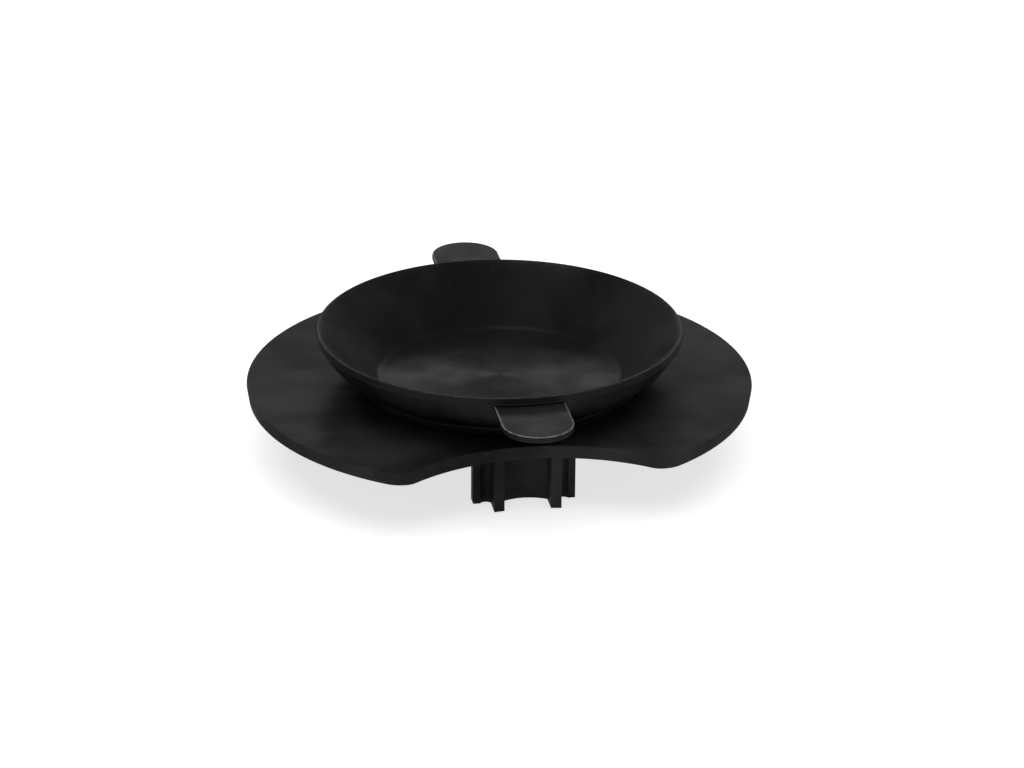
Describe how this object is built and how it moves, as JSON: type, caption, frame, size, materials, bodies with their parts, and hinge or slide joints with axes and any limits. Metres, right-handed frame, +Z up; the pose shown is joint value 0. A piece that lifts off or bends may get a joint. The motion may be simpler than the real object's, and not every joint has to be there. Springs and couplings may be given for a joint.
{
  "type": "suction mounting foot",
  "caption": "Round plate with finger notches and ribbed plugs below, carrying an upturned rubber suction cup with opposite release tabs.",
  "frame": {"origin": "centre of the footprint, at the height of the lowest faces of the two plugs", "axes": "+Z up along the cup's axis and towards its mouth; +Y along the line through the two release tabs; +X across it"},
  "size_m": [0.1524, 0.1546, 0.037],
  "materials": {
    "black_plastic": "satin moulded black plastic",
    "black_rubber": "soft satin black rubber",
    "zinc_steel": "bright zinc plated"
  },
  "bodies": {
    "base": {"base_plate": "black_plastic", "stud_plate": "zinc_steel", "flat_washer": "zinc_steel", "spring_washer": "zinc_steel", "hex_nut": "zinc_steel"},
    "cup": {"suction_cup": "black_rubber"},
    "tab_front": {"release_tab_front": "black_rubber"},
    "tab_rear": {"release_tab_rear": "black_rubber"}
  },
  "joints": [
    {"name": "cup_press", "type": "slide", "parent": "base", "child": "cup", "axis": [0, 0, 1], "range_m": [-0.008, 0], "stiffness_N_per_m": 5000, "deforming": ["suction_cup"]},
    {"name": "tab_front_bend", "type": "hinge", "parent": "cup", "child": "tab_front", "pos_m": [0, -0.0553, 0.03345], "axis": [1, 0, 0], "range_deg": [-45, 75], "stiffness_Nm_per_rad": 0.02},
    {"name": "tab_rear_bend", "type": "hinge", "parent": "cup", "child": "tab_rear", "pos_m": [0, 0.0553, 0.03345], "axis": [-1, 0, 0], "range_deg": [-45, 75], "stiffness_Nm_per_rad": 0.02}
  ]
}
